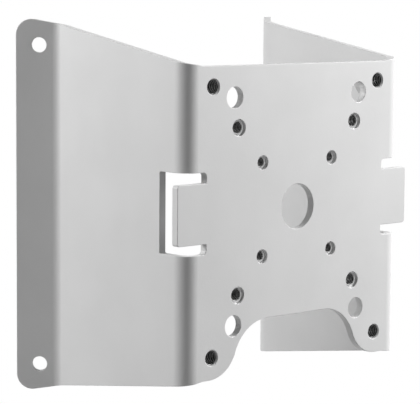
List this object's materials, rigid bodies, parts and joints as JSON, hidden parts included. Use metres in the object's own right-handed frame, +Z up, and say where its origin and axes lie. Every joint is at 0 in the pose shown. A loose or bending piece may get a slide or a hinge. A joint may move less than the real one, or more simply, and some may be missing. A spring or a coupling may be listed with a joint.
{
  "type": "corner mount bracket",
  "caption": "Folded sheet-metal corner bracket with a drilled front plate, two wings with tabs in windows, and angled flanges for the two walls of an outside corner.",
  "frame": {"origin": "centre of the bolt patterns, on the front face of the plate", "axes": "+X to the right seen from the front, +Y from the plate back to the building, +Z up"},
  "size_m": [0.223, 0.1432, 0.2358],
  "materials": {
    "powder_coat": "satin",
    "zinc_plate": "satin"
  },
  "bodies": {
    "root": {"folded_bracket": "powder_coat", "corner_nuts": "zinc_plate", "middle_nuts": "zinc_plate", "inner_nuts": "zinc_plate"}
  },
  "joints": []
}
